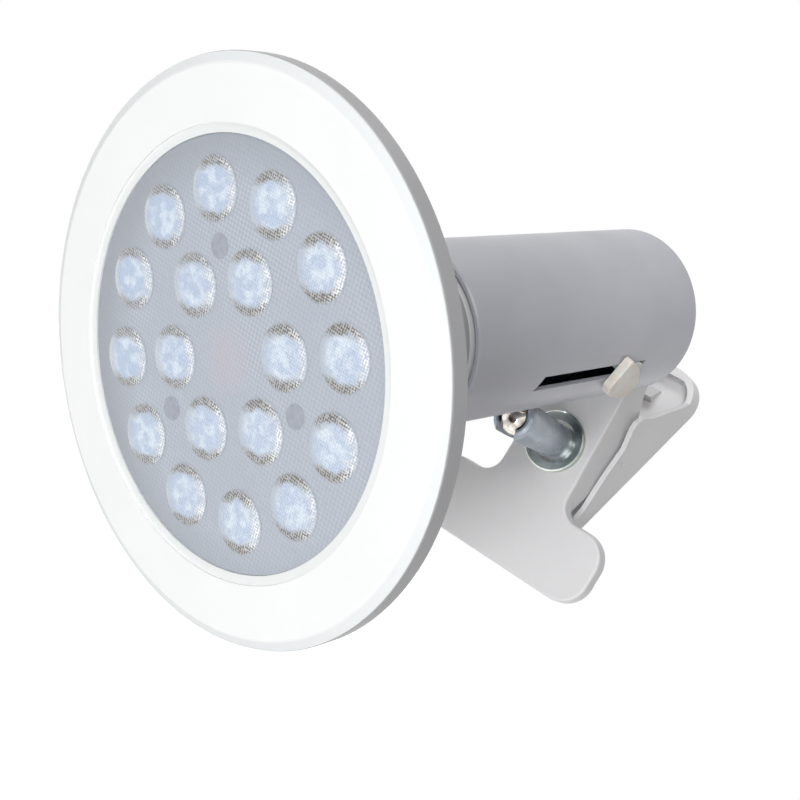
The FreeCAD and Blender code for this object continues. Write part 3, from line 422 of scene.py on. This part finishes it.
def ringOf(first, count, ring, turn, depth, name):
    # copies of a bead on a ring of the lamp's face
    copies = []
    for i in range(count):
        angle = math.radians(turn + 360 / count * i)
        copy = first.copy()
        copy.data = first.data.copy()
        copy.name = "%s_%d" % (name, i)
        bpy.context.collection.objects.link(copy)
        spot = Matrix.Translation((ring * math.cos(angle), ring * math.sin(angle), -depth))
        setDown(copy, headPlace @ spot)
        copies.append(copy)
    return copies


def asOne(pieces, name):
    clearPick()
    for piece in pieces:
        piece.select_set(True)
    bpy.context.view_layer.objects.active = pieces[0]
    bpy.ops.object.join()
    pieces[0].name = name
    return pieces[0]


def finishPiece(piece, finish, body):
    piece.data.materials.clear()
    piece.data.materials.append(made[finish])
    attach(piece, body)


firstBead = domeBead("firstBead", beadLook["radius"], 0.0004, 6)
beads = ringOf(firstBead, 12, beadLook["outerRing"], beadLook["outerTurn"], beadLook["depth"], "bead")
beads += ringOf(firstBead, 6, beadLook["innerRing"], beadLook["innerTurn"], beadLook["depth"], "beadIn")
lensBeads = asOne(beads, "lensBeads")
finishPiece(lensBeads, "beadImage", "bulb")
firstPost = domeBead("firstPost", beadLook["postRadius"], 0.0002, 4)
lensPosts = asOne(ringOf(firstPost, 3, beadLook["postRing"], beadLook["postTurn"], beadLook["depth"], "post"),
                  "lensPosts")
finishPiece(lensPosts, "postImage", "bulb")
for spare in (firstBead, firstPost):
    bpy.data.objects.remove(spare)
print("lens beads and posts made")

bandLook = {"radius": 0.01712, "thick": 0.0004, "front": -0.1036, "width": 0.0056, "rows": 6,
            "bead": 1.012}
clearPick()
bpy.ops.mesh.primitive_circle_add(vertices=72, radius=bandLook["radius"], fill_type="NOTHING", location=(0, 0, 0))
holderBand = bpy.context.object
holderBand.name = "holderBand"
bpy.context.tool_settings.mesh_select_mode = (True, False, False)
bpy.ops.object.mode_set(mode="EDIT")
bpy.ops.mesh.select_all(action="SELECT")
bandStep = bandLook["width"] / bandLook["rows"]
for row in range(bandLook["rows"]):
    bpy.ops.mesh.extrude_region_move(TRANSFORM_OT_translate={"value": (0, 0, -bandStep)})
bpy.ops.mesh.select_all(action="DESELECT")
bpy.ops.object.mode_set(mode="OBJECT")
for vert in holderBand.data.vertices:
    vert.select = abs(vert.co.z + bandLook["width"] / 2) < bandStep * 0.6  # the middle rows stand up as a bead
bpy.ops.object.mode_set(mode="EDIT")
bpy.ops.transform.resize(value=(bandLook["bead"], bandLook["bead"], 1))
bpy.ops.mesh.select_all(action="SELECT")
bpy.ops.mesh.normals_make_consistent(inside=False)
bpy.ops.object.mode_set(mode="OBJECT")
wall = holderBand.modifiers.new("wall", "SOLIDIFY")
wall.thickness = bandLook["thick"]
wall.offset = 1
bpy.ops.object.modifier_apply(modifier="wall")
soften = holderBand.modifiers.new("soften", "BEVEL")
soften.width = 0.00015
soften.segments = 2
bpy.ops.object.modifier_apply(modifier="soften")
bpy.ops.object.shade_smooth_by_angle(angle=math.radians(35))
setDown(holderBand, headPlace @ Matrix.Translation((0, 0, bandLook["front"])))
finishPiece(holderBand, "bandSteel", "head")
print("lampholder band made")

# ---- floor, light and camera
stageLook = {"floorDrop": 0.55, "floorSize": 8.0, "worldLight": 0.2, "keyPower": 7.0, "sidePower": 5.4,
             "topPower": 4.2}
bpy.ops.mesh.primitive_plane_add(size=stageLook["floorSize"], location=(0, 0, cadLow[2] - stageLook["floorDrop"]))
floor = bpy.context.object
floor.name = "floor"


def whiteToCamera(tree, shadeSocket, plainStrength):
    # what the camera, metal and glass see is plain white
    path = tree.nodes.new("ShaderNodeLightPath")
    seen = calc(tree, "MAXIMUM", path.outputs["Is Camera Ray"], path.outputs["Is Glossy Ray"])
    seen = calc(tree, "MAXIMUM", seen, path.outputs["Is Transmission Ray"])
    join(tree, calc(tree, "ADD", calc(tree, "MULTIPLY", seen, 1.0 - plainStrength), plainStrength), shadeSocket)


material, tree, shader = startFinish("floorPale")
shader.inputs["Base Color"].default_value = (0.85, 0.85, 0.85, 1)
shader.inputs["Roughness"].default_value = 0.9
shader.inputs["Emission Color"].default_value = (1, 1, 1, 1)
whiteToCamera(tree, shader.inputs["Emission Strength"], 0.0)
floor.data.materials.append(material)

world = bpy.data.worlds.new("softRoom")
bpy.context.scene.world = world
world.use_nodes = True
sky = world.node_tree.nodes["Background"]
sky.inputs["Color"].default_value = (1, 1, 1, 1)
whiteToCamera(world.node_tree, sky.inputs["Strength"], stageLook["worldLight"])


def softLamp(name, spot, target, power, size):
    light = bpy.data.lights.new(name, "AREA")
    light.energy = power
    light.size = size
    lamp = bpy.data.objects.new(name, light)
    bpy.context.collection.objects.link(lamp)
    lamp.location = spot
    lamp.rotation_euler = (Vector(target) - Vector(spot)).to_track_quat("-Z", "Y").to_euler()
    return lamp


softLamp("keyLamp", (0.385, -1.24, -0.292), faceCentre, stageLook["keyPower"], 0.4)
softLamp("sideLamp", (0.44, -1.15, 0.55), (0, -0.02, 0.02), stageLook["sidePower"], 0.5)
softLamp("topLamp", (-0.3, -0.2, 1.2), (0, -0.05, 0), stageLook["topPower"], 0.8)

cameraLook = {"spot": (0.15519, -0.37435, 0.02668), "right": (0.7440889, 0.4336824, 0.5081844),
              "up": (-0.4551385, -0.2277695, 0.8607961), "lens": 62.4}
eye = bpy.data.cameras.new("camera")
eye.sensor_width = 36.0
eye.lens = cameraLook["lens"]
eye.clip_start = 0.01
camera = bpy.data.objects.new("camera", eye)
bpy.context.collection.objects.link(camera)
right, up = Vector(cameraLook["right"]), Vector(cameraLook["up"])
camera.matrix_world = Matrix.Translation(cameraLook["spot"]) @ Matrix(
    (right, up, right.cross(up))).transposed().to_4x4()
bpy.context.scene.camera = camera
bpy.context.scene.view_settings.view_transform = "Standard"
print("stage set")
